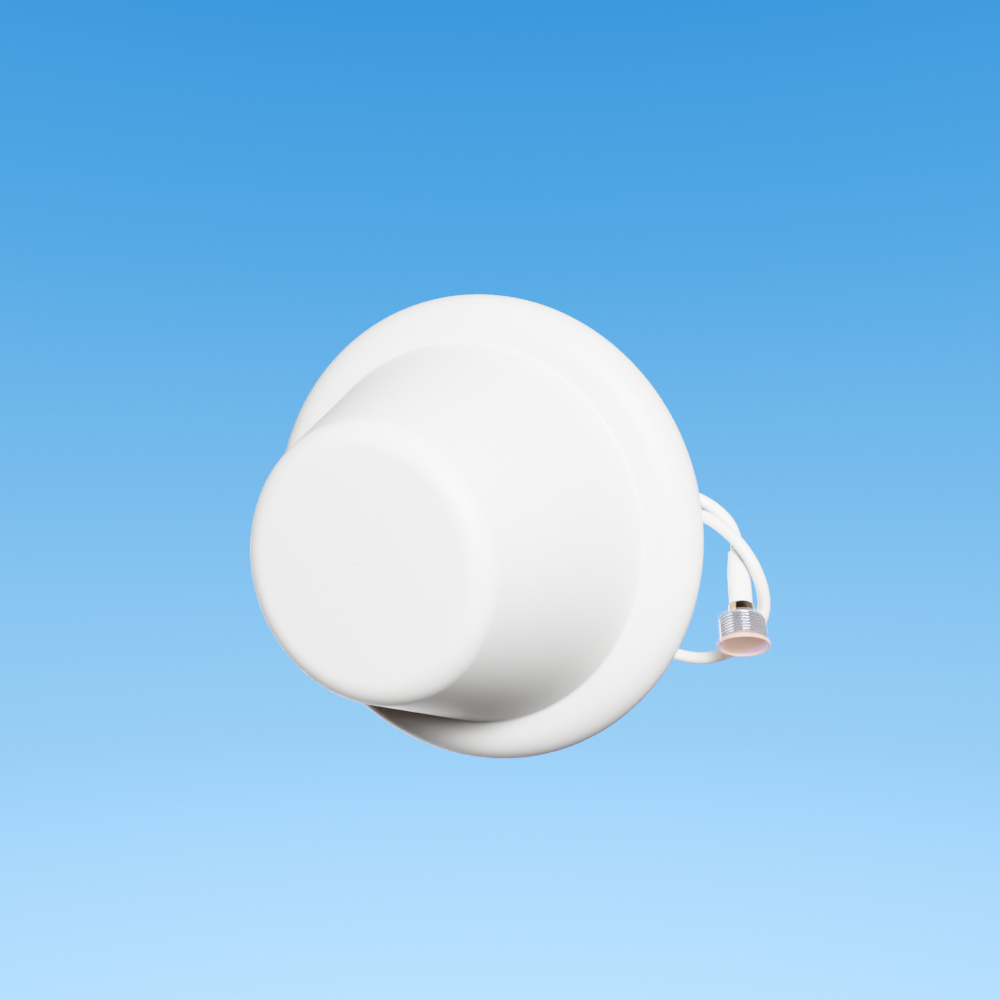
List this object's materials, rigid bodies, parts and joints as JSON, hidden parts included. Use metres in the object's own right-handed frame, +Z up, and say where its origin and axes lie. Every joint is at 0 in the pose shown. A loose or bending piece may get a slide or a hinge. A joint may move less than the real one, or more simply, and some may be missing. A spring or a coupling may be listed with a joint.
{
  "type": "ceiling dome antenna",
  "caption": "White indoor ceiling dome antenna: round flange, tapered flat-faced dome, threaded mounting stud with nut, and a coax pigtail ending in a capped threaded jack.",
  "frame": {"origin": "centre of the back face, on the mounting stud's axis, in the plane that lies against the ceiling", "axes": "+Z up through the ceiling along the mounting stud, with the dome hanging below; +X towards the side the pigtail leaves on; +Y completes a right-handed frame"},
  "size_m": [0.214, 0.186, 0.1449],
  "materials": {
    "white_abs": "satin white moulded ABS",
    "white_abs_plate": "fine-textured white moulded ABS",
    "white_nylon": "white moulded nylon",
    "zinc_steel": "zinc-plated steel",
    "aluminium_sheet": "plain aluminium sheet",
    "ptfe": "white insulating plastic",
    "brass": "bare brass",
    "white_jacket": "smooth white PVC",
    "white_shrink": "white heat-shrink",
    "nickel": "nickel-plated brass",
    "clear_cap": "translucent soft plastic with a faint pink cast"
  },
  "bodies": {
    "housing": {"radome": "white_abs", "radome_flange": "white_abs", "base_plate": "white_abs_plate", "mounting_stud": "white_nylon", "stud_lock_nut": "white_nylon", "cover_screw_1": "zinc_steel", "cover_screw_2": "zinc_steel", "cover_screw_3": "zinc_steel", "cover_screw_4": "zinc_steel", "ground_screw_1": "zinc_steel", "ground_screw_2": "zinc_steel", "ground_screw_3": "zinc_steel", "ground_plate": "aluminium_sheet", "radiator_cone": "aluminium_sheet", "feed_insulator": "ptfe", "feed_pin": "brass", "feed_nut": "brass", "standoff_1": "ptfe", "standoff_2": "ptfe", "standoff_3": "ptfe", "lip_screw_1": "zinc_steel", "lip_screw_2": "zinc_steel", "lip_screw_3": "zinc_steel", "shorting_strap_1": "brass", "shorting_strap_2": "brass", "shorting_strap_3": "brass", "braid_collar": "brass", "coax_tail": "white_jacket", "cable_boot": "white_jacket", "coax_cord": "white_jacket", "heat_shrink": "white_shrink", "crimp_ferrule": "nickel", "connector_body": "nickel", "connector_insulator": "ptfe", "connector_contact": "brass"},
    "washer_body": {"washer": "zinc_steel"},
    "nut_body": {"mounting_nut": "white_nylon"},
    "cap_body": {"dust_cap": "clear_cap"}
  },
  "joints": [
    {"name": "washer_slide", "type": "slide", "parent": "housing", "child": "washer_body", "axis": [0, 0, 1], "range_m": [0, 0.016]},
    {"name": "nut_spin", "type": "hinge", "parent": "washer_body", "child": "nut_body", "pos_m": [0, 0, 0.0013], "axis": [0, 0, 1], "range_deg": [0, 2880]},
    {"name": "cap_slide", "type": "slide", "parent": "housing", "child": "cap_body", "axis": [0.2099, 0.7798, -0.5898], "range_m": [0, 0.02]}
  ],
  "couplings": [
    {"joint": "washer_slide", "follows": "nut_spin", "m_per_rad": 0.00031831}
  ]
}
